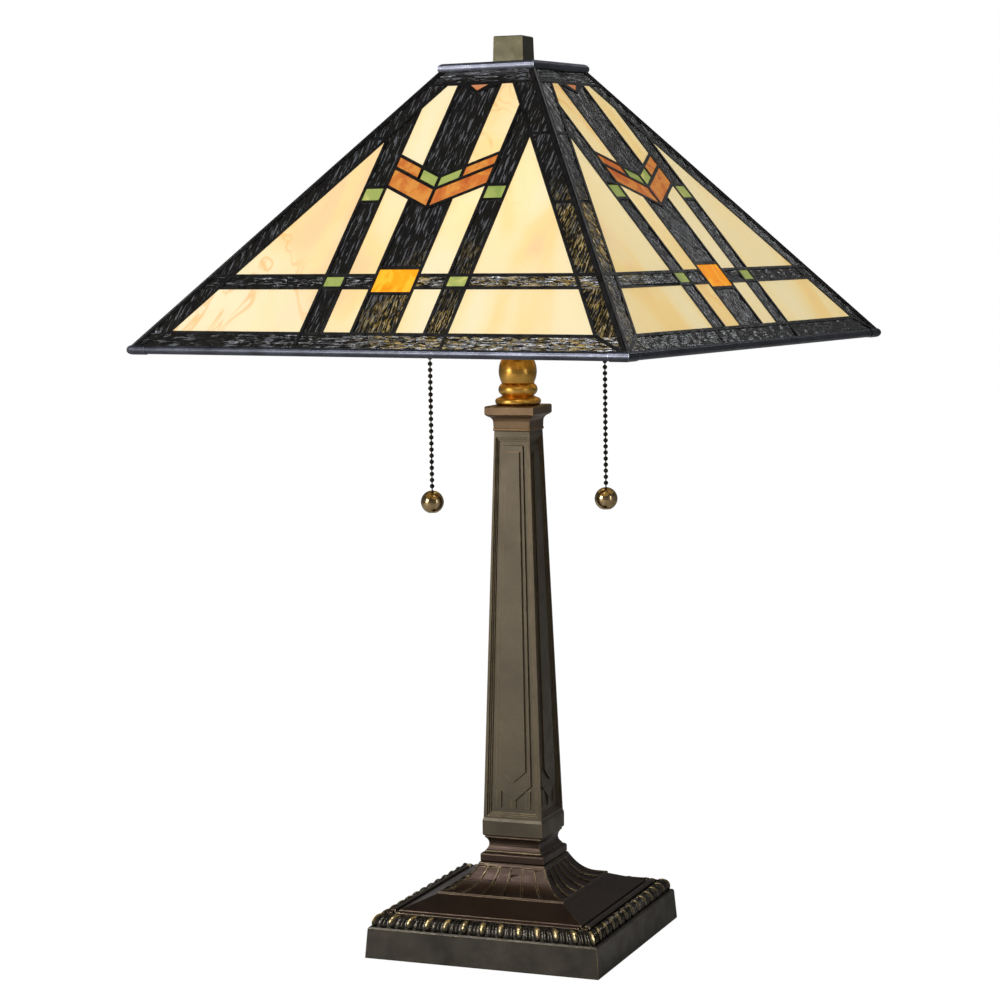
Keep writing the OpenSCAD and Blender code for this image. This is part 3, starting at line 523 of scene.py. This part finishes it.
def rippled_glass(side, material):
    """The dark pieces of one face as hand-rolled glass, with ripples along each strip and ragged heights."""
    foot, sunk, thinner = 2.5 * MM, 0.05 * MM, 0.3 * MM
    us = np.arange(-RIM_HALF, RIM_HALF + RIPPLE_STEP / 2, RIPPLE_STEP)
    vs = np.arange(foot, FACE_LENGTH, RIPPLE_STEP)
    matrix = face_matrix(side)
    top = -(CAME_DEPTH - GLASS_DEPTH) / 2 - sunk
    bottom = top - GLASS_DEPTH + thinner
    points, index = [], {}

    def point(i, j, layer):
        if (i, j, layer) not in index:
            u, v = float(us[i]), float(vs[j])
            index[(i, j, layer)] = len(points)
            points.append(matrix @ Vector((u, v, top + ripple_height(u, v, side) if layer == 0 else bottom)))
        return index[(i, j, layer)]

    faces, grain = [], []
    for i, j in cells_with_glass(side, us, vs):
        ring = [(i, j), (i + 1, j), (i + 1, j + 1), (i, j + 1)]
        level = grain_is_level(float(vs[j]) + RIPPLE_STEP / 2)
        for layer, corners in enumerate((ring, ring[::-1])):
            faces.append([point(a, b, layer) for a, b in corners])
            for a, b in corners:
                u, v = float(us[a]), float(vs[b])
                grain.append((u + side, v) if level else (v + side, u))
    piece = mesh_object(SIDES[side] + "_rippled_glass", points, faces, smooth=True)
    layer = piece.data.uv_layers.new(name="grain")
    for corner, place in enumerate(grain):
        layer.data[corner].uv = place
    piece.data.materials.append(material)
    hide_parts(SIDES[side] + "_dark_glass")
    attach(piece, "shade")


# ---- the bead and reel moulding round the base ----
def border_moulding(material):
    """A quarter-round with tall oval beads, and two reeds between each pair of beads."""
    low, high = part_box("border_moulding")
    beads, steps_along, steps_round = 12, 720, 28
    half = high.x - 5 * MM
    pitch = 2 * half / beads
    centre_out, centre_z = high.x - 7.6 * MM, low.z + 0.7 * MM
    across, up = 5.3 * MM, 6.9 * MM
    bead_half, bead_rise = 3.0 * MM, 2.2 * MM
    reed_half, reed_rise, reed_offset = 1.1 * MM, 1.1 * MM, 1.35 * MM
    middle_turn, reach_turn = math.radians(45), math.radians(56)
    turns = np.radians(np.linspace(-12, 102, steps_round + 1))
    runs = np.linspace(-1, 1, steps_along + 1)

    def swell_at(from_bead, reach):
        """How far the surface stands out of the quarter-round, and how worn it is before its turn counts."""
        oval = 1 - (from_bead / bead_half) ** 2 - (1 - max(0, reach))
        swell = bead_rise * max(0, oval) ** 0.5
        worn = within(0, (swell / bead_rise - 0.55) / 0.4, 1)
        near_reed = abs(pitch / 2 - from_bead - reed_offset) / reed_half
        if near_reed < 1:
            swell = max(swell, reed_rise * (1 - near_reed**2) ** 0.5 * within(0, reach * 2.2, 1) ** 0.5)
        return swell, worn

    points, faces, rubbed_and_highlit_tops = [], [], []
    for side in range(4):
        spin = Matrix.Rotation(side * math.pi / 2, 3, "Z")
        first = len(points)
        for run in runs:
            from_bead = abs((run * half / pitch + 0.5) % 1 - 0.5) * pitch
            for turn in turns:
                swell, worn = swell_at(from_bead, 1 - ((turn - middle_turn) / reach_turn) ** 2)
                out = centre_out + (across + swell) * math.cos(turn)
                z = centre_z + (up + swell) * math.sin(turn)
                points.append(spin @ Vector((run * out, -out, z)))
                # The rub on the beads: wear where they swell most, and a painted highlight that grows towards their
                # upper side
                rubbed_and_highlit_tops.append(worn * within(0, math.degrees(turn) / 60, 1))
        count = len(turns)
        for a in range(steps_along):
            for b in range(steps_round):
                at = first + a * count + b
                faces.append((at, at + count, at + count + 1, at + 1))
    piece = mesh_object("bead_and_reel_border", points, faces, smooth=True)
    wear_and_highlight = piece.data.attributes.new("wear_and_highlight", "FLOAT", "POINT")
    wear_and_highlight.data.foreach_set("value", rubbed_and_highlit_tops)
    piece.data.materials.append(material)
    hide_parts("border_moulding")
    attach(piece, "stand")


# ---- the studio ----
def add_floor():
    """A pale table that turns into a white surround away from the lamp."""
    corners = [(x * FLOOR_HALF, y * FLOOR_HALF, 0) for x, y in ((-1, -1), (1, -1), (1, 1), (-1, 1))]
    floor = mesh_object("floor", corners, [(0, 1, 2, 3)])
    g = material_graph("floor")
    place = g.place()
    tone = g.ramp(g.noise(place, scale=3, detail=2), srgb_stops(((0.3, "d6d6d6"), (0.7, "dcdcdc"))))
    top = g.node("BsdfPrincipled", {"Base Color": tone, "Roughness": 0.75, "Specular IOR Level": 0.2})
    glow = g.node("Emission", {"Color": (1, 1, 1, 1), "Strength": FLOOR_GLOW})
    away = g.node("VectorMath", {0: place}, operation="LENGTH").outputs["Value"]
    share = g.product(g.spread(away, 0.12, 0.45, 0.96, 1.0), g.node("LightPath").outputs["Is Camera Ray"])
    floor.data.materials.append(g.finish(g.mix_shaders(share, top, glow)))


def light_the_studio():
    """White behind the lamp; for the lamp itself a dim room with a big softbox at the left of the camera."""
    world = bpy.context.scene.world or bpy.data.worlds.new("World")
    bpy.context.scene.world = world
    g = Graph(world)
    height = g.height(g.node("TexCoord").outputs["Generated"])
    room = g.ramp(height, [(at, (tone * 0.97, tone * 0.98, tone, 1)) for at, tone in ROOM_TONES])
    dim = g.node("Background", {"Color": room})
    white = g.node("Background", {"Color": (1, 1, 1, 1)})
    g.finish(g.mix_shaders(g.node("LightPath").outputs["Is Camera Ray"], dim, white), "OutputWorld")
    bpy.context.scene.view_settings.view_transform = "Standard"
    for light in LIGHTS:
        add_area_light(*light)


add_camera()
add_floor()
light_the_studio()

materials = {name: metal(name, **look) for name, look in METALS.items()}
materials.update((name, soft_material(name, *look)) for name, look in SOFT_MATERIALS.items())
materials.update(solder=solder(), lit_bulb=lit_bulb())

for piece_name, material_name, radius in DRESSING:
    dress(piece_name, materials[material_name], radius)
dress("finial", materials["finial_bronze"], 0.5 * MM, segments=3)
for end in ("front", "back"):
    for piece_name, material_name in SOCKET_DRESSING:
        dress(end + piece_name, materials[material_name])
for hand in ("left", "right"):
    for piece_name, material_name in PULL_DRESSING:
        dress(hand + piece_name, materials[material_name])
for piece_name, glass in COLOURED_GLASS.items():
    dress(piece_name, coloured_glass(piece_name, *glass), GLASS_BEVEL)
dark = dark_glass()
for number, side_name in enumerate(SIDES):
    dress(side_name + "_came", materials["solder"], 0.5 * MM)
    dress(side_name + "_cream_glass", cream_glass(number))
    rippled_glass(number, dark)
border_moulding(materials["bead_bronze"])
